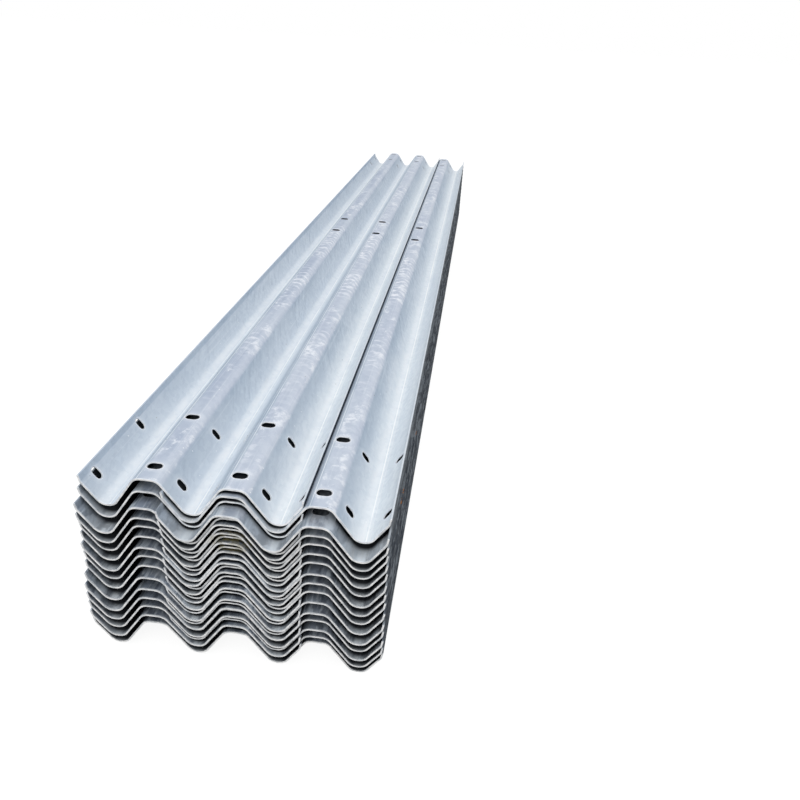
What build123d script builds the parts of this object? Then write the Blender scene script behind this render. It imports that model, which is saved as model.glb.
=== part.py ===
from build123d import *
from math import cos, radians, sin, tan
import os

# A yard stack of thrie-beam highway guardrail: thirty loose, galvanised steel
# beams lying traffic face down, nested in each other. Every second beam is one
# wave to the side, so the stack has a left and a right column that share two waves.
# X runs across the beams, Y along them (the near ends are at -Y), Z is up, and
# the origin is on the floor under the middle of the stack. Millimetres.

# One beam
beam_length = 4320
wave_count = 3
wave_pitch = 194
edge_reach = 59            # from an outer valley's middle to the beam's edge
beam_depth = 85
sheet = 4
slope_angle = 55           # of the waves' sides, from the horizontal
bend_radius = 24           # inside of the main bends
valley_flat = 3
crest_flat_least = 1       # a crest's bends are no rounder than leaves this between them
lip_angle = 80             # of the turned-up edges, from the horizontal
lip_length = 14
lip_bend_radius = 10

# Bolt slots: the heights are those of the slots' middles over the valley floors
end_margin = 52            # from a beam's end to its first column of slots
column_spacing = 216
crest_slot_length = 36
crest_slot_width = 24
slope_slot_length = 32
slope_slot_width = 20
inner_slot_height = 39
flange_slot_height = 46

# The stack, listed from the top beam down: how far each beam's near end stands
# out past the near end of the top beam
seat_gap = 0.2
left_ends_out = (0, 8, 32, 33, 28, 31, 38, 35, 38, 49, 57, 58, 57, 60, 55)
right_ends_out = (9, 42, 38, 34, 35, 33, 41, 41, 40, 46, 53, 48, 52, 48, 40)

# The section's middle line, measured from a valley's middle and its mid-sheet floor
slope = radians(slope_angle)
lip = radians(lip_angle)
half_sheet = sheet / 2
middle_rise = beam_depth - sheet
main_bend = bend_radius + half_sheet
floor_corner = valley_flat / 2 + main_bend * tan(slope / 2)
crest_corner = floor_corner + middle_rise / tan(slope)
crest_room = wave_pitch / 2 - crest_corner
crest_bend = min(main_bend, (crest_room - crest_flat_least / 2) / tan(slope / 2))
lip_bend = lip_bend_radius + half_sheet
lip_leg = lip_length + lip_bend * tan((lip - slope) / 2)
lip_end_x = edge_reach - half_sheet * sin(lip)
lip_corner_x = lip_end_x - lip_leg * cos(lip)
lip_corner_z = (lip_corner_x - floor_corner) * tan(slope)
lip_end_z = lip_corner_z + lip_leg * sin(lip)

valley_middles = [edge_reach + wave * wave_pitch for wave in range(wave_count)]
crest_middles = [middle + wave_pitch / 2 for middle in valley_middles[:-1]]
beam_width = valley_middles[-1] + edge_reach

section_corners = [
    (valley_middles[0] - lip_end_x, lip_end_z),
    (valley_middles[0] - lip_corner_x, lip_corner_z),
]
section_radii = [lip_bend]
for middle in valley_middles:
    if middle > valley_middles[0]:
        section_corners.append((middle - crest_corner, middle_rise))
        section_radii.append(crest_bend)
    section_corners += [(middle - floor_corner, 0), (middle + floor_corner, 0)]
    section_radii += [main_bend, main_bend]
    if middle < valley_middles[-1]:
        section_corners.append((middle + crest_corner, middle_rise))
        section_radii.append(crest_bend)
section_corners += [
    (valley_middles[-1] + lip_corner_x, lip_corner_z),
    (valley_middles[-1] + lip_end_x, lip_end_z),
]
section_radii.append(lip_bend)

# Columns of slots along the beam: two at each end and two at the middle post
first_column = beam_length / 2 - end_margin
second_column = first_column - column_spacing
end_columns = (-first_column, -second_column, second_column, first_column)
post_columns = (-column_spacing / 2, column_spacing / 2)

# How a beam lies on the one below: its wave's side lies on that beam's wave, and
# that beam's turned-up edge holds up its next side. This sets it over by
# nest_shift and lifts it by nest_rise.
lip_top_x = half_sheet * sin(lip) - lip_end_x
lip_top_z = half_sheet * cos(lip) + lip_end_z
lip_height_on_slope = (lip_top_x + floor_corner) * sin(slope) + lip_top_z * cos(slope)
nest_shift = (lip_height_on_slope - half_sheet) / (2 * sin(slope))
nest_rise = (sheet + seat_gap + nest_shift * sin(slope)) / cos(slope)
column_step = wave_pitch - nest_shift
stack_width = beam_width + column_step
deepest_end = max(left_ends_out + right_ends_out)


def slope_slot_plane(middle, side, height):
    """The plane of a wave's side, its origin at a slot's height on mid-sheet, X along the beam."""
    rise = height - half_sheet
    across = middle + side * (floor_corner + rise / tan(slope))
    return Plane(
        origin=(across, 0, height),
        x_dir=(0, 1, 0),
        z_dir=(-side * sin(slope), 0, cos(slope)),
    )


# The beam, with its left edge at X = 0 and its valleys' undersides at Z = 0
with BuildPart() as beam:
    with BuildSketch(Plane.XZ.shift_origin((0, 0, half_sheet))):
        with BuildLine():
            FilletPolyline(*section_corners, radius=section_radii)
        trace(line_width=sheet)
    extrude(amount=beam_length / 2, both=True)

    with BuildSketch(Plane.XY.offset(beam_depth / 2)):
        for crest in crest_middles:
            with Locations(*[(crest, column) for column in end_columns + post_columns]):
                SlotOverall(crest_slot_length, crest_slot_width)
    extrude(amount=beam_depth, mode=Mode.SUBTRACT)

    for middle in valley_middles:
        for side in (-1, 1):
            is_flange = middle + side * wave_pitch not in valley_middles
            height = flange_slot_height if is_flange else inner_slot_height
            with BuildSketch(slope_slot_plane(middle, side, height)):
                with Locations(*[(column, 0) for column in end_columns]):
                    SlotOverall(slope_slot_length, slope_slot_width, rotation=90)
            extrude(amount=sheet, both=True, mode=Mode.SUBTRACT)


def lay_beam(name, left_edge, end_out, beams_below):
    """Writes one beam of the stack, laid on the given number of beams."""
    along = deepest_end / 2 - end_out
    with BuildPart() as laid:
        with Locations((left_edge, along, beams_below * nest_rise)):
            add(beam.part)
    laid.part.label = name
    export_step(laid.part, f"parts/{name}.step")


os.makedirs("parts", exist_ok=True)
beams_below = len(left_ends_out) + len(right_ends_out)
for layer, (left_out, right_out) in enumerate(zip(left_ends_out, right_ends_out), 1):
    beams_below -= 1
    lay_beam(f"left_beam_{layer:02d}", -stack_width / 2, left_out, beams_below)
    beams_below -= 1
    lay_beam(
        f"right_beam_{layer:02d}", column_step - stack_width / 2, right_out, beams_below
    )

print(f"nest shift {nest_shift:.3f}, nest rise {nest_rise:.3f}")
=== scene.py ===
import math

import bpy
import numpy as np
from mathutils import Matrix, Vector


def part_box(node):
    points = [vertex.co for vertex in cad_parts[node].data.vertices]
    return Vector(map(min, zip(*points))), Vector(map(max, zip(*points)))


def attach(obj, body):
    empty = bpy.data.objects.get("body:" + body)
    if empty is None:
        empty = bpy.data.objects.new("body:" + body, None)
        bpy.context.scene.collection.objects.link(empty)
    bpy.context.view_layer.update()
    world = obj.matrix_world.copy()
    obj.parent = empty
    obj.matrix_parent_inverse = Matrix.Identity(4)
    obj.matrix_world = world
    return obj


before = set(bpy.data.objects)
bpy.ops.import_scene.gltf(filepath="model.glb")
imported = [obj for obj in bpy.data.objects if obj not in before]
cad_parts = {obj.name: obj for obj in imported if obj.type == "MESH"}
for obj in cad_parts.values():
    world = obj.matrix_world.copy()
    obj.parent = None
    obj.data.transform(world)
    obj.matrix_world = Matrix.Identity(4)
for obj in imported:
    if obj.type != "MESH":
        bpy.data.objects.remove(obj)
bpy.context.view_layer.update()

# ---- Rolled beams ---------------------------------------------------------------------
# Thirty lengths of 4 mm steel strip, each rolled into three waves, punched with bolt
# slots and then dipped in molten zinc. They lie loose, face down, each nested in the
# one below and every second one a wave to the side.

wave_pitch = 0.194
edge_to_valley = 0.059
beam_middle = edge_to_valley + wave_pitch
second_crest = edge_to_valley + 1.5 * wave_pitch
last_valley = edge_to_valley + 2 * wave_pitch
not_numbers = {"Object": "Vector", "Place": "Vector", "Facing": "Vector", "Colour": "Color"}


def start_group(name, takes, gives):
    """Begins a shader group from the names of its inputs and of its outputs."""
    tree = bpy.data.node_groups.new(name, "ShaderNodeTree")
    for way, labels in (("INPUT", takes), ("OUTPUT", gives)):
        for label in labels:
            kind = "NodeSocket" + not_numbers.get(label, "Float")
            tree.interface.new_socket(label, in_out=way, socket_type=kind)
    taken = tree.nodes.new("NodeGroupInput").outputs
    given = tree.nodes.new("NodeGroupOutput").inputs
    return tree, taken, given


def feed(tree, socket, value):
    """Links a value to a socket, or sets the socket where the value is a constant."""
    if isinstance(value, bpy.types.NodeSocket):
        tree.links.new(value, socket)
    else:
        socket.default_value = value


def feed_all(tree, sockets, **values):
    """Feeds sockets by name, with _ for each space in the name."""
    for label, value in values.items():
        feed(tree, sockets[label.replace("_", " ")], value)


def calc(tree, operation, *values):
    """One step of arithmetic."""
    node = tree.nodes.new("ShaderNodeMath")
    node.operation = operation
    for socket, value in zip(node.inputs, values):
        feed(tree, socket, value)
    return node.outputs[0]


def split(tree, vector):
    """The three parts of a place or a direction."""
    node = tree.nodes.new("ShaderNodeSeparateXYZ")
    feed(tree, node.inputs[0], vector)
    return node.outputs


def join(tree, *parts):
    """Three parts put together as a place."""
    node = tree.nodes.new("ShaderNodeCombineXYZ")
    for socket, part in zip(node.inputs, parts):
        feed(tree, socket, part)
    return node.outputs[0]


# Where a point lies on its own beam: across from its left edge, along from its middle,
# up from its valleys, how far from the nearest valley's middle and on which side of it.
# Place moves on from beam to beam, so that no two beams have the same zinc.
next_beam_along = 7.3
next_beam_up = 1.7
place_group, taken, given = start_group(
    "Place on the beam",
    ("Object", "Left Edge", "Middle", "Base", "Number"),
    ("Across", "Along", "Height", "From Valley", "Rising", "Place"),
)
tree = place_group
x, y, z = split(tree, taken["Object"])
across = calc(tree, "SUBTRACT", x, taken["Left Edge"])
along = calc(tree, "SUBTRACT", y, taken["Middle"])
height = calc(tree, "SUBTRACT", z, taken["Base"])
past_valley = calc(tree, "SUBTRACT", across, edge_to_valley)
past_nearest = calc(tree, "WRAP", past_valley, wave_pitch / 2, -wave_pitch / 2)
moved_along = calc(tree, "MULTIPLY_ADD", taken["Number"], next_beam_along, along)
moved_up = calc(tree, "MULTIPLY_ADD", taken["Number"], next_beam_up, height)
feed_all(
    tree,
    given,
    Across=across,
    Along=along,
    Height=height,
    From_Valley=calc(tree, "PINGPONG", past_valley, wave_pitch / 2),
    Rising=calc(tree, "GREATER_THAN", past_nearest, 0.0),
    Place=join(tree, across, moved_along, moved_up),
)


def times(tree, value, *others):
    """All the values multiplied together."""
    for other in others:
        value = calc(tree, "MULTIPLY", value, other)
    return value


def fade(tree, value, start, end, at_start=0.0, at_end=1.0, kind="SMOOTHSTEP"):
    """Goes smoothly from one level at start to another at end."""
    node = tree.nodes.new("ShaderNodeMapRange")
    node.interpolation_type = kind
    for socket, setting in zip(node.inputs, (value, start, end, at_start, at_end)):
        feed(tree, socket, setting)
    return node.outputs[0]


def stretched(tree, vector, ways):
    """A place with its parts across, along and up each scaled."""
    node = tree.nodes.new("ShaderNodeVectorMath")
    node.operation = "MULTIPLY"
    feed(tree, node.inputs[0], vector)
    node.inputs[1].default_value = ways
    return node.outputs[0]


def noise(tree, vector, scale, detail, roughness, ways=None, distortion=0.0):
    """Cloudy noise from 0 to 1, in a place that may be scaled three ways."""
    node = tree.nodes.new("ShaderNodeTexNoise")
    feed(tree, node.inputs["Vector"], stretched(tree, vector, ways) if ways else vector)
    feed_all(tree, node.inputs, Scale=scale, Detail=detail)
    feed_all(tree, node.inputs, Roughness=roughness, Distortion=distortion)
    return node.outputs["Fac"]


def cells(tree, vector, scale):
    """Cells round scattered seeds: the way to a seed, and its cell's three chance values."""
    node = tree.nodes.new("ShaderNodeTexVoronoi")
    feed_all(tree, node.inputs, Vector=vector, Scale=scale)
    chances = tree.nodes.new("ShaderNodeSeparateColor")
    feed(tree, chances.inputs[0], node.outputs["Color"])
    return node.outputs["Distance"], chances.outputs


# The skin of zinc: soft clouds, crystals a centimetre wide, lines drawn along the
# strip by the rolls, slanting hairs on the waves' sides, dross specks and a fine grain
side_angle = math.radians(55)
hair_turn = math.radians(25)
hair_squeeze = 0.13
pale_speck_share = 0.10
dark_speck_share = 0.025
skin_group, taken, given = start_group(
    "Zinc skin",
    ("Place",),
    ("Clouds", "Crystals", "Lines", "Hairs", "Pale Specks", "Dark Specks", "Grain"),
)
tree = skin_group
place = taken["Place"]
_, along, up = split(tree, place)
up_side = calc(tree, "DIVIDE", up, math.sin(side_angle))
up_with, up_past = (
    times(tree, up_side, part) for part in (math.sin(hair_turn), math.cos(hair_turn))
)
with_hair = calc(tree, "MULTIPLY_ADD", along, math.cos(hair_turn), up_with)
past_hair = calc(tree, "MULTIPLY_ADD", along, -math.sin(hair_turn), up_past)
hair_place = join(tree, past_hair, times(tree, with_hair, hair_squeeze), 0.0)
_, crystals = cells(tree, stretched(tree, place, (1.0, 0.8, 1.0)), 95.0)
to_speck, specks = cells(tree, place, 70.0)
dot = fade(tree, to_speck, 0.16, 0.08)
is_pale = calc(tree, "GREATER_THAN", specks[0], 1 - pale_speck_share)
is_dark = calc(tree, "GREATER_THAN", specks[1], 1 - dark_speck_share)
feed_all(
    tree,
    given,
    Clouds=noise(tree, place, 11.0, 3.0, 0.55, (1.0, 0.4, 1.0)),
    Crystals=crystals[0],
    Lines=noise(tree, place, 160.0, 2.0, 0.6, (1.0, 0.012, 1.0)),
    Hairs=noise(tree, hair_place, 95.0, 3.0, 0.62, distortion=0.4),
    Pale_Specks=times(tree, dot, is_pale),
    Dark_Specks=times(tree, dot, is_dark),
    Grain=noise(tree, place, 900.0, 2.0, 0.6),
)


def thin_lines(tree, taken, lines, sway, reach, softness):
    """Bright lines along a wave, each given by its way from the valley, its half width and
    its strength. They sway by the reach and widen towards the far end. Their edges are
    softened by a share of the half width."""
    spread = fade(tree, taken["Along"], -1.70, 0.20, 1.0, 1.6)
    brightest = 0.0
    for line_place, half_width, strength in lines:
        middle = calc(tree, "MULTIPLY_ADD", sway, reach, line_place - reach / 2)
        off_line = calc(tree, "SUBTRACT", taken["From Valley"], middle)
        off_line = calc(tree, "DIVIDE", calc(tree, "ABSOLUTE", off_line), spread)
        outside = half_width * (1 + softness)
        inside = half_width * (1 - softness)
        line = fade(tree, off_line, outside, inside, 0.0, strength)
        brightest = calc(tree, "MAXIMUM", brightest, line)
    return brightest


# Marks of the rolls, and painted light on the crest: a duller, darker crest with a sharp left
# foot, its darkness partly painted shade, bowed bars across it in patches, brushed ash between
# them, a painted highlight on its falling shoulder, and the thin bright lines at the crest's
# foot, painted glints along its bend
bar_spacing = 0.036
bar_bow = 3600.0
bar_wobble = 16.0
foot_glint_lines = ((0.0765, 0.0010, 1.0), (0.0690, 0.0006, 1.0))
rolls_group, taken, given = start_group(
    "Roll marks and crest light",
    ("Place", "Along", "From Valley", "Rising", "Second"),
    ("Bars", "Ash", "Crest", "Shoulder", "Foot"),
)
tree = rolls_group
place, along, from_valley = taken["Place"], taken["Along"], taken["From Valley"]
crest_foot = calc(tree, "MULTIPLY_ADD", taken["Rising"], 0.019, 0.058)
crest = fade(tree, from_valley, crest_foot, calc(tree, "ADD", crest_foot, 0.007))
falling = calc(tree, "SUBTRACT", 1.0, taken["Rising"])
# Painted highlight on the crest's falling shoulder
shoulder_highlight = fade(tree, from_valley, 0.092, 0.072)
from_crest = calc(tree, "SUBTRACT", wave_pitch / 2, from_valley)
bow = times(tree, calc(tree, "POWER", from_crest, 2.0), bar_bow)
phase = calc(tree, "MULTIPLY_ADD", along, 2 * math.pi / bar_spacing, bow)
wobble = noise(tree, place, 9.0, 3.0, 0.55)
phase = calc(tree, "MULTIPLY_ADD", wobble, bar_wobble, phase)
bars = fade(tree, calc(tree, "SINE", phase), -0.1, 0.95)
patches = fade(tree, noise(tree, place, 2.4, 3.0, 0.6, (0.3, 1.0, 0.3)), 0.42, 0.60)
streaky = fade(tree, noise(tree, place, 55.0, 3.0, 0.65, (0.7, 1.0, 0.7)), 0.36, 0.62)
fresh_near = fade(tree, along, -1.70, -1.10, 0.20, 1.0)
fresh_far = fade(tree, along, -0.30, 0.30, 1.0, 0.40)
daubs = fade(tree, noise(tree, place, 30.0, 5.0, 0.68), 0.48, 0.66)
daubed = noise(tree, place, 7.0, 2.0, 0.5)
daubed = calc(tree, "MULTIPLY_ADD", taken["Second"], 0.09, daubed)
# The lines at the crest's foot are painted glints along the bend
foot_sway = noise(tree, place, 2.2, 2.0, 0.5, (0.0, 1.0, 0.0))
foot_break = noise(tree, place, 12.0, 2.0, 0.6, (0.3, 1.0, 0.3))
feed_all(
    tree,
    given,
    Bars=times(tree, bars, patches, streaky, crest, fresh_near, fresh_far),
    Ash=times(tree, daubs, fade(tree, daubed, 0.46, 0.60), crest),
    Crest=crest,
    Shoulder=times(tree, falling, shoulder_highlight, crest),
    Foot=times(
        tree,
        thin_lines(tree, taken, foot_glint_lines, foot_sway, 0.004, 0.5),
        fade(tree, foot_break, 0.30, 0.50, 0.35, 1.0),
        taken["Rising"],
    ),
)

# Painted light in the valleys: a pale band on the falling side, a painted sheen blotched by the
# zinc and soft at its top, then a crisp bright line just past the valley's middle and a thin
# second one, painted glints along the bend
valley_glint_lines = ((0.0050, 0.0013, 0.95), (0.0130, 0.0007, 0.45))
valley_group, taken, given = start_group(
    "Valley sheen",
    ("Place", "Along", "From Valley", "Rising", "Clouds", "Third"),
    ("Band", "Line"),
)
tree = valley_group
place = taken["Place"]
band_top = calc(tree, "MULTIPLY_ADD", taken["Third"], 0.016, 0.010)
band_top = calc(tree, "MULTIPLY_ADD", taken["Clouds"], 0.050, band_top)
blotches = noise(tree, place, 42.0, 4.0, 0.65, (1.0, 0.45, 1.0))
line_sway = noise(tree, place, 1.1, 2.0, 0.5, (0.0, 1.0, 0.0))
line_break = noise(tree, place, 6.0, 3.0, 0.6, (0.4, 1.0, 0.4))
feed_all(
    tree,
    given,
    Band=times(
        tree,
        fade(tree, taken["From Valley"], band_top, 0.004),
        fade(tree, blotches, 0.34, 0.66, 0.35, 1.0),
        calc(tree, "SUBTRACT", 1.0, taken["Rising"]),
    ),
    Line=times(
        tree,
        thin_lines(tree, taken, valley_glint_lines, line_sway, 0.006, 0.6),
        fade(tree, line_break, 0.34, 0.52, 0.40, 1.0),
        taken["Rising"],
    ),
)


def apart(tree, value, other):
    """How far two values lie apart."""
    return calc(tree, "ABSOLUTE", calc(tree, "SUBTRACT", value, other))


def slot_edge(tree, lengthwise, crosswise, slot):
    """How far a point is outside a slot with round ends: the root of the sum of two
    squares, of the way past the slot's straight part and of the way to its middle line,
    less half the slot's width."""
    length, width = slot
    past_end = calc(tree, "SUBTRACT", lengthwise, (length - width) / 2)
    past_end = calc(tree, "POWER", calc(tree, "MAXIMUM", past_end, 0.0), 2.0)
    square = calc(tree, "ADD", past_end, calc(tree, "POWER", crosswise, 2.0))
    return calc(tree, "SUBTRACT", calc(tree, "SQRT", square), width / 2)


# The rims of the punched slots, where the zinc stands thicker and paler and the edge carries a
# painted highlight, and the slots' walls, painted dark as shade. The slots stand in two columns
# astride the beam's middle, where a post is, and in two astride each splice, and the waves'
# sides have them only at the splices.
sheet = 0.004
crest_slot = (0.036, 0.024)
slope_slot = (0.032, 0.020)
inner_slot_height = 0.039
flange_slot_height = 0.046
splice = 2.0
half_spacing = 0.108
side_foot = 0.01503
slope_slots_top = 0.074
slots_group, taken, given = start_group(
    "Slot rims", ("Across", "Along", "Height", "From Valley"), ("Rim", "Halo", "Wall")
)
tree = slots_group
from_middle = calc(tree, "ABSOLUTE", taken["Along"])
from_post_column = apart(tree, from_middle, half_spacing)
from_splice_column = apart(tree, apart(tree, from_middle, splice), half_spacing)
from_column = calc(tree, "MINIMUM", from_post_column, from_splice_column)
from_crest = calc(tree, "SUBTRACT", wave_pitch / 2, taken["From Valley"])
crest_edge = slot_edge(tree, from_crest, from_column, crest_slot)

# On the waves' sides the slots stand with their length up the slope. How far up it a
# point lies is counted from the side's foot, where the sheet leaves the valley's bend.
flange = calc(tree, "GREATER_THAN", apart(tree, taken["Across"], beam_middle), wave_pitch)
flange_extra = flange_slot_height - inner_slot_height
slot_height = calc(tree, "MULTIPLY_ADD", flange, flange_extra, inner_slot_height)
slot_rise = calc(tree, "SUBTRACT", slot_height, sheet / 2)
slot_up = calc(tree, "DIVIDE", slot_rise, math.sin(side_angle))
past_foot = calc(tree, "SUBTRACT", taken["From Valley"], side_foot)
past_foot = times(tree, past_foot, math.cos(side_angle))
rise = calc(tree, "SUBTRACT", taken["Height"], sheet / 2)
up_slope = calc(tree, "MULTIPLY_ADD", rise, math.sin(side_angle), past_foot)
from_slot = apart(tree, up_slope, slot_up)
slope_edge = slot_edge(tree, from_slot, from_splice_column, slope_slot)

# A metre added puts the slots of the other kind out of reach
on_crest = calc(tree, "GREATER_THAN", taken["Height"], slope_slots_top)
on_slope = calc(tree, "SUBTRACT", 1.0, on_crest)
crest_edge = calc(tree, "ADD", on_slope, crest_edge)
slope_edge = calc(tree, "ADD", on_crest, slope_edge)
edge = calc(tree, "MINIMUM", crest_edge, slope_edge)
feed_all(
    tree,
    given,
    Rim=fade(tree, edge, 0.0030, 0.0012),
    Halo=fade(tree, edge, 0.016, 0.002),
    Wall=fade(tree, edge, 0.0008, 0.0002),
)

# Crumbs of rust caught on the turned-up edges of the right flank, and an olive film of
# old oil on the near ends round the middle crest
rust_spots = ((0.348, -1.858, 0.317), (0.348, -1.902, 0.315), (0.347, -1.4925, 0.262))
rust_reach = 0.016
film_middle = (0.0, 0.350)
film_reach = (0.060, 0.034)
film_limits = (-2.06, -2.00)
stains_group, taken, given = start_group("Stains", ("Object",), ("Rust", "Film"))
tree = stains_group
rust = 0.0
for rust_spot in rust_spots:
    away = tree.nodes.new("ShaderNodeVectorMath")
    away.operation = "DISTANCE"
    feed(tree, away.inputs[0], taken["Object"])
    away.inputs[1].default_value = rust_spot
    crumb = fade(tree, away.outputs["Value"], rust_reach, rust_reach * 0.4)
    rust = calc(tree, "MAXIMUM", rust, crumb)
x, y, z = split(tree, taken["Object"])
film_far = 0.0
for part, middle, reach in zip((x, z), film_middle, film_reach):
    off_middle = calc(tree, "DIVIDE", apart(tree, part, middle), reach)
    film_far = calc(tree, "MULTIPLY_ADD", off_middle, off_middle, film_far)
crumbly = noise(tree, taken["Object"], 260.0, 3.0, 0.6)
patchy = noise(tree, taken["Object"], 60.0, 3.0, 0.6)
feed_all(
    tree,
    given,
    Rust=times(tree, rust, fade(tree, crumbly, 0.42, 0.56)),
    Film=times(
        tree,
        fade(tree, film_far, 1.0, 0.35),
        fade(tree, patchy, 0.36, 0.60),
        fade(tree, y, *film_limits, 1.0, 0.0),
    ),
)


def tint(red, green, blue):
    """A paint maker's colour, each part from 0 to 255, as the shader's linear colour."""
    parts = [part / 255 for part in (red, green, blue)]
    return [
        part / 12.92 if part <= 0.04045 else ((part + 0.055) / 1.055) ** 2.4
        for part in parts
    ] + [1.0]


def coat(tree, under, over, *amounts):
    """Lays one colour over another by the product of the amounts, each from 0 to 1."""
    node = tree.nodes.new("ShaderNodeMix")
    node.data_type = "RGBA"
    feed(tree, node.inputs["Factor"], times(tree, *amounts))
    feed(tree, node.inputs[6], under)
    feed(tree, node.inputs[7], over)
    return node.outputs[2]


def use_group(tree, group, **values):
    """Places a group in a tree and feeds its inputs by name."""
    node = tree.nodes.new("ShaderNodeGroup")
    node.node_tree = group
    feed_all(tree, node.inputs, **values)
    return node.outputs


# All of it on one sheet: colour, roughness and relief. Over and Beside tell whether a beam lies
# on this one in its own column and in the other, and the shifts how much further along that
# beam stands. The painted shade on the ends that stand out grows from the top of the stack
# down.
half_beam = 2.160
sheet_inputs = ("Object", "Facing", "Left Edge", "Middle", "Base", "Number")
over_inputs = ("Over", "Over Shift", "Shade")
beside_inputs = ("Beside", "Beside Shift", "Beside Edge", "Beside Side")
steel_group, taken, given = start_group(
    "Galvanised steel",
    sheet_inputs + over_inputs + beside_inputs,
    ("Colour", "Metallic", "Roughness", "Relief"),
)
tree = steel_group
spot = use_group(
    tree,
    place_group,
    Object=taken["Object"],
    Left_Edge=taken["Left Edge"],
    Middle=taken["Middle"],
    Base=taken["Base"],
    Number=taken["Number"],
)
place, across, along, height = (
    spot[label] for label in ("Place", "Across", "Along", "Height")
)
from_valley, rising = spot["From Valley"], spot["Rising"]
second = calc(tree, "GREATER_THAN", across, beam_middle)
third = calc(tree, "GREATER_THAN", across, second_crest)
skin = use_group(tree, skin_group, Place=place)
on_wave = {"Place": place, "Along": along, "From_Valley": from_valley, "Rising": rising}
rolls = use_group(tree, rolls_group, Second=second, **on_wave)
valley = use_group(tree, valley_group, Clouds=skin["Clouds"], Third=third, **on_wave)
rims = use_group(
    tree, slots_group, Across=across, Along=along, Height=height, From_Valley=from_valley
)
_, facing_along, facing_up = split(tree, taken["Facing"])
upper = fade(tree, facing_up, -0.05, 0.05)

# The open skin is painted paler low on the waves and darker high up, a painted highlight and
# painted shade that differ between the rising and falling sides, and it is brushed on their
# sides
high_start = calc(tree, "MULTIPLY_ADD", rising, 0.012, 0.018)
high_end = calc(tree, "MULTIPLY_ADD", rising, 0.004, 0.066)
high = fade(tree, from_valley, high_start, high_end, kind="LINEAR")
brushed = times(
    tree,
    fade(tree, along, -1.80, -1.00, 0.35, 1.0),
    fade(tree, noise(tree, place, 4.5, 2.0, 0.5), 0.40, 0.60, 0.25, 1.0),
    fade(tree, height, 0.010, 0.024),
    fade(tree, height, 0.078, 0.066),
)
pale_hairs = fade(tree, skin["Hairs"], 0.50, 0.64, 0.0, 0.70)
dull_hairs = fade(tree, skin["Hairs"], 0.48, 0.34, 0.0, 0.50)
low_rising = fade(tree, from_valley, 0.044, 0.014, 0.0, 0.60)
low_third = fade(tree, from_valley, 0.044, 0.016, 0.0, 0.60)
right_flange = calc(tree, "GREATER_THAN", across, last_valley)
up_flange = fade(tree, height, 0.040, 0.066)
flange_colour = coat(tree, tint(234, 240, 244), tint(214, 221, 227), up_flange)
left_lip = fade(tree, across, 0.014, 0.008, 0.0, 0.40)
# The crests' lavender zinc, darkened in part as painted shade
crest_tone_and_shade = coat(tree, tint(176, 187, 206), tint(190, 199, 215), second)
clouded = fade(tree, skin["Clouds"], 0.34, 0.68, 0.0, 0.36)
crystal = fade(tree, skin["Crystals"], 0.0, 1.0, 0.0, 0.12)
lined = fade(tree, skin["Lines"], 0.55, 0.75, 0.0, 0.25)
# The painted valley sheen and the slot rims' painted highlight both weaken towards the far end
band_level = fade(tree, along, -1.50, -0.30, 0.80, 0.36)
rim_level = fade(tree, along, -1.40, -0.60, 1.0, 0.10)
colour = coat(tree, tint(222, 230, 238), tint(168, 184, 201), high)
for paint, *amounts in (
    (tint(214, 224, 234), pale_hairs, brushed),
    (tint(150, 166, 184), dull_hairs, brushed),
    # Painted highlight: paler still low on the rising sides, on the third wave and on the right
    # flange
    (tint(232, 239, 245), low_rising, rising),
    (tint(236, 242, 246), low_third, third),
    (flange_colour, rising, right_flange, 0.88),
    # The left lip painted lighter against the shade of its steeper face
    (tint(200, 211, 224), left_lip),
    # Crest: lavender zinc, partly painted shade, and a painted highlight on its shoulder
    (crest_tone_and_shade, rolls["Crest"], 0.90),
    (tint(203, 211, 225), rolls["Shoulder"], 0.80),
    (tint(216, 224, 233), clouded),
    (tint(150, 166, 188), crystal),
    (tint(236, 240, 246), lined),
    # Painted sheen in the valleys
    (tint(234, 238, 242), valley["Band"], band_level),
    (tint(236, 240, 247), rolls["Ash"], 0.85),
    (tint(240, 243, 250), rolls["Bars"], 0.85),
    # Painted glints along the bends, at the crest's foot and in the valleys
    (tint(244, 247, 252), rolls["Foot"], 0.70),
    (tint(252, 254, 255), valley["Line"]),
    (tint(250, 252, 255), skin["Pale Specks"], 0.7),
    (tint(96, 100, 104), skin["Dark Specks"], 0.6),
    # Slot rims: paler, thicker zinc with a painted highlight
    (tint(240, 244, 250), rims["Halo"], 0.22, rim_level),
    (tint(244, 248, 255), rims["Rim"], 0.85, rim_level),
):
    colour = coat(tree, colour, paint, *amounts)

# The ends that stand out from under the beam above are painted darker as the shade of that
# beam, most of all up the rising sides, and more so down the stack. They carry runs and
# smudges, and a pale pool in each valley, a painted reflection. A beam's last few millimetres
# are bright, a pale zinc bead with a painted highlight.
off_valley = fade(tree, from_valley, 0.010, 0.052)
end_shade_colour = coat(tree, tint(162, 172, 182), tint(104, 114, 128), off_valley)
shade_start = fade(tree, from_valley, 0.018, 0.036)
shade_end = fade(tree, from_valley, 0.086, 0.074)
end_shade_colour = coat(tree, end_shade_colour, tint(40, 46, 56), shade_start, shade_end, rising)
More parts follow.
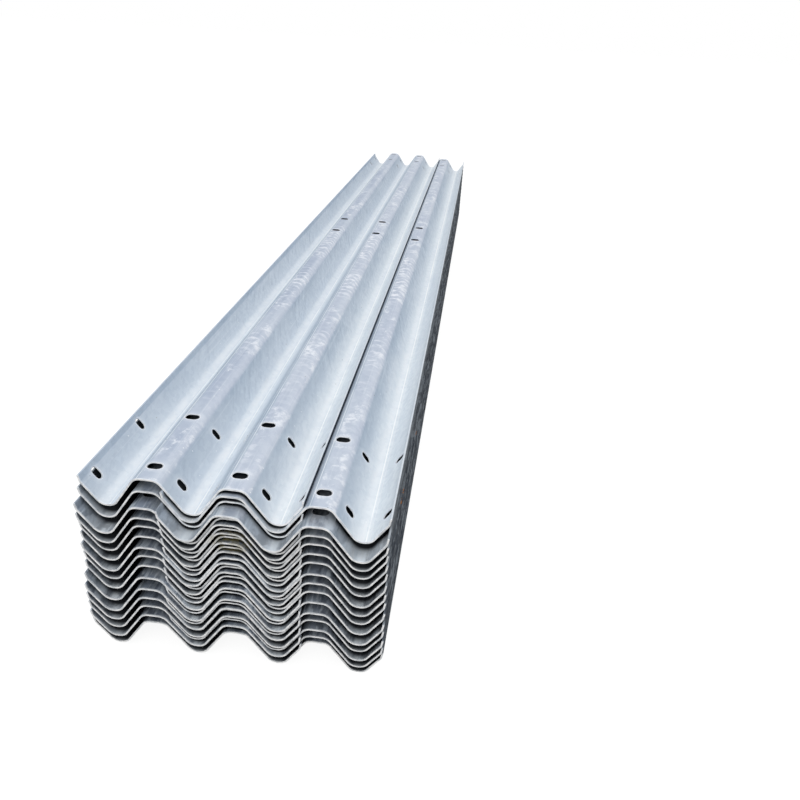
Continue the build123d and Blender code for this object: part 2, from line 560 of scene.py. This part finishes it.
# Painted shade on the ends, from the beam above
shaded_end = times(tree, taken["Over"], taken["Shade"])
runs = noise(tree, place, 85.0, 4.0, 0.65, (1.0, 0.10, 0.3))
runs = fade(tree, runs, 0.46, 0.59, 0.0, 0.72)
smudges = noise(tree, place, 30.0, 3.0, 0.6, (1.0, 0.6, 1.0))
smudges = fade(tree, smudges, 0.47, 0.60, 0.0, 0.62)
pooled = fade(tree, from_valley, 0.013, 0.004)
pool = fade(tree, noise(tree, place, 38.0, 3.0, 0.6), 0.36, 0.54, 0.25, 0.95)
from_end = calc(tree, "SUBTRACT", half_beam, calc(tree, "ABSOLUTE", along))
for paint, *amounts in (
    (end_shade_colour, shaded_end, 0.72),
    (tint(196, 206, 216), runs, taken["Over"]),
    (tint(56, 64, 78), smudges, shaded_end),
    # A pale pool in each valley, a painted reflection, and a painted glint along it
    (tint(222, 230, 237), pooled, pool, taken["Over"]),
    (tint(222, 231, 240), valley["Line"], 0.75, taken["Over"]),
    # The last few millimetres: a pale zinc bead at the cut, with a painted highlight
    (tint(240, 245, 250), fade(tree, from_end, 0.004, 0.001, 0.0, 0.8)),
):
    colour = coat(tree, colour, paint, *amounts)

# The undersides, painted dark as shade, and the flanks: the outer faces of the turned-up edges,
# painted in shade too, the right ones darker and the left ones, which stand in the open,
# lighter, with the upper parts of the lips lighter again
drawn = fade(tree, skin["Lines"], 0.3, 0.7)
# Undersides painted dark as shade
under_colour = coat(tree, tint(52, 60, 74), tint(88, 98, 114), drawn)
under_colour = coat(tree, under_colour, tint(24, 28, 34), 0.45)
flank_colour = coat(tree, tint(84, 92, 104), tint(118, 127, 140), drawn)
lip_colour = coat(tree, tint(112, 121, 134), tint(150, 159, 172), drawn)
for paint, *amounts in (
    (tint(150, 159, 170), fade(tree, skin["Clouds"], 0.40, 0.62, 0.0, 0.35)),
    (lip_colour, fade(tree, height, 0.058, 0.070)),
    (tint(176, 185, 196), calc(tree, "LESS_THAN", across, beam_middle), 0.55),
):
    flank_colour = coat(tree, flank_colour, paint, *amounts)
on_flank = fade(tree, apart(tree, across, beam_middle), 0.212, 0.232)
under_colour = coat(tree, under_colour, flank_colour, on_flank)
colour = coat(tree, under_colour, colour, upper)


def under_cover(tree, along, shift, start, end):
    """How deep a point lies under a beam that stands shift further along."""
    inside = calc(tree, "SUBTRACT", half_beam, apart(tree, along, shift))
    return fade(tree, inside, start, end)


# What lies under another beam is painted nearly black as the shade it lies in, and so is a
# strip a few millimetres past that beam's edge and end, its painted shadow. What reaches as
# high as the tops of the turned-up edges is painted less dark, and the outer faces of the
# flanks not at all.
open_face = times(tree, on_flank, calc(tree, "SUBTRACT", 1.0, upper))
over = times(
    tree,
    taken["Over"],
    under_cover(tree, along, taken["Over Shift"], -0.006, 0.014),
    fade(tree, height, 0.0744, 0.0728, 0.45, 1.0),
    calc(tree, "SUBTRACT", 1.0, open_face),
)
past_edge = calc(tree, "SUBTRACT", across, taken["Beside Edge"])
past_edge = times(tree, taken["Beside Side"], past_edge)
beside = times(
    tree,
    taken["Beside"],
    under_cover(tree, along, taken["Beside Shift"], -0.003, 0.005),
    fade(tree, past_edge, -0.004, 0.003),
)
covered = calc(tree, "MAXIMUM", over, beside)

# The slots' walls, painted dark as shade, less so towards the far end; the cut end faces,
# painted near white as pale zinc with a painted highlight; and the stains
wall_shade_level = fade(tree, along, 1.2, 1.9, 0.98, 0.15)
end_facing = fade(tree, calc(tree, "ABSOLUTE", facing_along), 0.7, 0.9)
at_end = calc(tree, "LESS_THAN", from_end, 0.002)
cut_clouds = fade(tree, noise(tree, place, 50.0, 3.0, 0.6), 0.38, 0.60)
cut_colour = coat(tree, tint(219, 222, 225), tint(254, 254, 254), cut_clouds)
stains = use_group(tree, stains_group, Object=taken["Object"])
for paint, *amounts in (
    (tint(17, 20, 25), covered, 0.97),
    (tint(30, 34, 42), rims["Wall"], wall_shade_level),
    (cut_colour, end_facing, at_end),
    (tint(150, 140, 92), stains["Film"], 0.45),
    (tint(190, 124, 56), stains["Rust"], 0.90),
):
    colour = coat(tree, colour, paint, *amounts)

# Only bare zinc shines. Grain, crystals, lines, bars and hairs stand up from it.
hidden = calc(tree, "MAXIMUM", covered, rims["Wall"])
bare = times(tree, upper, calc(tree, "SUBTRACT", 1.0, hidden))
bare_roughness = fade(tree, skin["Crystals"], 0.0, 1.0, 0.44, 0.56)
bare_roughness = calc(tree, "MULTIPLY_ADD", rolls["Bars"], -0.08, bare_roughness)
hidden_roughness = calc(tree, "MULTIPLY_ADD", bare, -0.75, 0.75)
relief = times(tree, skin["Grain"], 0.3)
for mark, depth in (
    (skin["Crystals"], 0.15),
    (skin["Lines"], 0.5),
    (rolls["Bars"], 0.6),
    (skin["Hairs"], 0.5),
):
    relief = calc(tree, "MULTIPLY_ADD", mark, depth, relief)
feed_all(
    tree,
    given,
    Colour=colour,
    Metallic=calc(tree, "MULTIPLY_ADD", bare, 0.42, 0.02),
    Roughness=calc(tree, "MAXIMUM", bare_roughness, hidden_roughness),
    Relief=relief,
)

# Which beams lie on each one: the one over it in its own column, and the one between
# them from the other column, which covers it past its own edge
column_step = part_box("right_beam_01")[0].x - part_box("left_beam_01")[0].x
beam_width = 2 * beam_middle
# How much painted shade the standing-out ends get, from the top of the stack down
shade_at_top = 0.15
shade_per_layer = 0.18


def cover_of(name):
    """How each of the two covering beams lies, as the steel group's inputs."""
    column, layer = name.split("_beam_")
    layer_above = f"{int(layer) - 1:02d}"
    if column == "left":
        beside, edge, side = f"right_beam_{layer_above}", column_step, 1.0
    else:
        beside, edge, side = f"left_beam_{layer}", beam_width - column_step, -1.0
    shade_depth = min(1.0, shade_at_top + shade_per_layer * int(layer))
    cover = {"Beside_Edge": edge, "Beside_Side": side, "Shade": shade_depth}
    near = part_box(name)[0].y
    for label, other in (("Over", f"{column}_beam_{layer_above}"), ("Beside", beside)):
        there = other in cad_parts
        cover[label] = float(there)
        cover[label + "_Shift"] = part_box(other)[0].y - near if there else 0.0
    return cover


def new_material(name):
    """An empty material, its nodes, and the socket that takes its surface."""
    material = bpy.data.materials.new(name)
    material.use_nodes = True
    tree = material.node_tree
    tree.nodes.clear()
    return material, tree, tree.nodes.new("ShaderNodeOutputMaterial").inputs["Surface"]


def finish_metal(tree, surface, specular, strength, depth, relief, **values):
    """Gives a material the metal's shader, with the relief as bumps in its surface."""
    bump = tree.nodes.new("ShaderNodeBump")
    feed_all(tree, bump.inputs, Strength=strength, Distance=depth, Height=relief)
    metal = tree.nodes.new("ShaderNodeBsdfPrincipled")
    metal.inputs["Specular IOR Level"].default_value = specular
    feed_all(tree, metal.inputs, Normal=bump.outputs["Normal"], **values)
    tree.links.new(metal.outputs[0], surface)


for number, name in enumerate(sorted(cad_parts)):
    near_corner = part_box(name)[0]
    zinc, tree, surface = new_material("galvanised_" + name)
    steel = use_group(
        tree,
        steel_group,
        Object=tree.nodes.new("ShaderNodeTexCoord").outputs["Object"],
        Facing=tree.nodes.new("ShaderNodeNewGeometry").outputs["Normal"],
        Left_Edge=near_corner.x,
        Middle=near_corner.y + half_beam,
        Base=near_corner.z,
        Number=float(number),
        **cover_of(name),
    )
    finish_metal(
        tree,
        surface,
        specular=0.0,
        strength=0.35,
        depth=0.0006,
        relief=steel["Relief"],
        Base_Color=steel["Colour"],
        Metallic=steel["Metallic"],
        Roughness=steel["Roughness"],
    )
    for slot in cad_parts[name].material_slots:
        slot.material = zinc

# ---- Zinc beads in the slots ----------------------------------------------------------
# Molten zinc draining off the top beam of each column set as a rounded pale bead just
# inside the upper rims of the slots at its two ends. It is one with the beam's coating.
wave_rise = 0.081
bead_radius = 0.0011
bead_depth = 0.0012
bead_steps = 48
bead_sides = 8
crest_flat_half = 0.0117
crest_outer_bend = 0.028
slot_columns = [end * splice + side * half_spacing for end in (-1, 1) for side in (-1, 1)]


def bead_rings(middles, long_way, wide_way, face_way, slot, bends):
    """Rounded rings in slots. Round each slot the middle of the bead goes by an angle: half
    the straight length to the side that the cosine points to, plus the end's radius times
    the cosine and sine. Where the sheet bends away, it sinks by the bend's arc. The bead's
    own circle stands on that path, between the way out of the slot and the sheet's face."""
    length, width = slot
    long_way, wide_way, face_way = map(np.array, (long_way, wide_way, face_way))
    turn = (np.arange(bead_steps)[:, None] + 0.5) / bead_steps * 2 * np.pi
    out_long, out_wide = np.cos(turn), np.sin(turn)
    along_slot = (length - width) / 2 * np.sign(out_long) + width / 2 * out_long
    past_flat = np.maximum(np.abs(along_slot) - crest_flat_half, 0)
    sink = (crest_outer_bend - np.sqrt(crest_outer_bend**2 - past_flat**2)) * bends
    path = along_slot * long_way + width / 2 * out_wide * wide_way
    path = path - (sink + bead_depth) * face_way
    outward = out_long * long_way + out_wide * wide_way
    round_turn = np.arange(bead_sides)[:, None] / bead_sides * 2 * np.pi
    circle = outward[:, None, :] * np.cos(round_turn) + face_way * np.sin(round_turn)
    ring = path[:, None, :] + bead_radius * circle
    return np.array(middles)[:, None, None, :] + ring


def ring_faces(rings):
    """Four-sided faces of closed rings: each joins a step and its next, a side and its next."""
    counts = [np.arange(count) for count in (rings, bead_steps, bead_sides)]
    ring, step, side = np.meshgrid(*counts, indexing="ij")
    next_step, next_side = (step + 1) % bead_steps, (side + 1) % bead_sides
    corners = ((step, side), (next_step, side), (next_step, next_side), (step, next_side))
    faces = [(ring * bead_steps + steps) * bead_sides + sides for steps, sides in corners]
    return np.stack(faces, axis=-1).reshape(-1, 4)


beads = []
for name, crests, valley_sides in (
    ("left_beam_01", (0, 1), ((0, -1), (0, 1), (1, -1), (1, 1), (2, -1), (2, 1))),
    ("right_beam_01", (1,), ((2, -1), (2, 1))),
):
    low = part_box(name)[0]
    first_valley = low.x + edge_to_valley
    columns = [low.y + half_beam + column for column in slot_columns]
    crest_top = low.z + wave_rise + sheet
    tops = [
        (first_valley + (crest + 0.5) * wave_pitch, column, crest_top)
        for crest in crests
        for column in columns
    ]
    beads.append(bead_rings(tops, (1, 0, 0), (0, 1, 0), (0, 0, 1), crest_slot, 1.0))
    for valley_number, side in valley_sides:
        is_flange = valley_number + side not in (0, 1, 2)
        rise = (flange_slot_height if is_flange else inner_slot_height) - sheet / 2
        reach = side_foot + rise / math.tan(side_angle)
        up_way = (side * math.cos(side_angle), 0, math.sin(side_angle))
        face_way = (-side * math.sin(side_angle), 0, math.cos(side_angle))
        slot_x = first_valley + valley_number * wave_pitch + side * reach
        face_x = slot_x + face_way[0] * sheet / 2
        face_z = low.z + sheet / 2 + rise + face_way[2] * sheet / 2
        middles = [(face_x, column, face_z) for column in columns]
        beads.append(bead_rings(middles, up_way, (0, side, 0), face_way, slope_slot, 0.0))
bead_points = np.concatenate(beads)
bead_mesh = bpy.data.meshes.new("slot_beads")
bead_mesh.from_pydata(bead_points.reshape(-1, 3), [], ring_faces(len(bead_points)))
bead_mesh.polygons.foreach_set("use_smooth", np.ones(len(bead_mesh.polygons), dtype=bool))
bead_piece = bpy.data.objects.new("slot_beads", bead_mesh)
bpy.context.scene.collection.objects.link(bead_piece)

bead_zinc, tree, surface = new_material("pale_zinc_bead")
where = tree.nodes.new("ShaderNodeTexCoord")
skin = use_group(tree, skin_group, Place=where.outputs["Object"])
bead_colour = coat(tree, tint(212, 220, 229), tint(246, 250, 253), skin["Crystals"])
bead_colour = coat(tree, bead_colour, tint(120, 124, 128), skin["Dark Specks"], 0.5)
finish_metal(
    tree,
    surface,
    specular=0.4,
    strength=0.3,
    depth=0.0003,
    relief=skin["Grain"],
    Base_Color=bead_colour,
    Metallic=fade(tree, skin["Clouds"], 0.3, 0.7, 0.25, 0.45),
    Roughness=fade(tree, skin["Grain"], 0.3, 0.7, 0.32, 0.50),
)
bead_mesh.materials.append(bead_zinc)
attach(bead_piece, "root")

# ---- Floor ----------------------------------------------------------------------------
# The plain matt floor of a white studio, flat, with no edge in sight. The stack stands
# loose on it, by its own weight, and its shadow falls there.
floor_reach = 60.0
floor_grey = 0.20
floor_glow = 0.90


def seen(tree):
    """1 where the eye, a shiny face or glass looks this way, 0 for light on dull faces."""
    path = tree.nodes.new("ShaderNodeLightPath").outputs
    mirrored = calc(tree, "MAXIMUM", path["Is Glossy Ray"], path["Is Transmission Ray"])
    return calc(tree, "MAXIMUM", path["Is Camera Ray"], mirrored)


floor_corners = [
    (side_x * floor_reach, side_y * floor_reach, 0)
    for side_x, side_y in ((-1, -1), (1, -1), (1, 1), (-1, 1))
]
floor_mesh = bpy.data.meshes.new("floor")
floor_mesh.from_pydata(floor_corners, [], [(0, 1, 2, 3)])
floor = bpy.data.objects.new("floor", floor_mesh)
bpy.context.scene.collection.objects.link(floor)
pale, tree, surface = new_material("pale_floor")
matt = tree.nodes.new("ShaderNodeBsdfDiffuse")
matt.inputs["Color"].default_value = (floor_grey, floor_grey, floor_grey, 1.0)
lift = tree.nodes.new("ShaderNodeEmission")
feed(tree, lift.inputs["Strength"], times(tree, seen(tree), floor_glow))
both = tree.nodes.new("ShaderNodeAddShader")
tree.links.new(matt.outputs[0], both.inputs[0])
tree.links.new(lift.outputs[0], both.inputs[1])
tree.links.new(both.outputs[0], surface)
floor_mesh.materials.append(pale)

# ---- Light ----------------------------------------------------------------------------
# A white sky that gives less light from near the horizon than from overhead, and one
# very large soft lamp hung high in front of the stack's near ends, a little to the right.
horizon_light = 0.30
overhead_light = 0.95
sky = bpy.data.worlds.new("studio")
bpy.context.scene.world = sky
sky.use_nodes = True
tree = sky.node_tree
tree.nodes.clear()
where = tree.nodes.new("ShaderNodeTexCoord")
_, _, sky_up = split(tree, where.outputs["Generated"])
brightness = tree.nodes.new("ShaderNodeMix")
feed(tree, brightness.inputs["Factor"], seen(tree))
light_given = fade(tree, sky_up, 0.0, 0.75, horizon_light, overhead_light)
feed(tree, brightness.inputs[2], light_given)
brightness.inputs[3].default_value = 1.0
glow = tree.nodes.new("ShaderNodeBackground")
glow.inputs["Color"].default_value = (1.0, 1.0, 1.0, 1.0)
feed(tree, glow.inputs["Strength"], brightness.outputs[0])
out = tree.nodes.new("ShaderNodeOutputWorld")
tree.links.new(glow.outputs[0], out.inputs["Surface"])

lamp_place = Vector((0.6, -6.5, 5.0))
lamp_aim = Vector((0, -0.8, 0.3))
lamp = bpy.data.lights.new("high_soft_lamp", "AREA")
lamp.shape = "RECTANGLE"
lamp.size = 5.0
lamp.size_y = 5.0
lamp.energy = 150.0
holder = bpy.data.objects.new("high_soft_lamp", lamp)
bpy.context.scene.collection.objects.link(holder)
holder.location = lamp_place
holder.rotation_euler = (lamp_aim - lamp_place).to_track_quat("-Z", "Y").to_euler()

# ---- Camera ---------------------------------------------------------------------------
# It stands a metre in front of the near ends and just past the stack's right side,
# well above the top beam, and looks down along the beams.
eye = Vector((0.4481, -3.2371, 1.3533))
ahead = Vector((-0.0780, 0.8687, -0.4892)).normalized()
upward = Vector((-0.1019, 0.4812, 0.8707))
right = ahead.cross(upward).normalized()
upward = right.cross(ahead)
lens = bpy.data.cameras.new("camera")
lens.sensor_width = 36.0
lens.lens = 30.22
camera = bpy.data.objects.new("camera", lens)
bpy.context.scene.collection.objects.link(camera)
camera_place = Matrix((right, upward, -ahead)).transposed().to_4x4()
camera_place.translation = eye
camera.matrix_world = camera_place
bpy.context.scene.camera = camera

bpy.context.scene.view_settings.view_transform = "Standard"
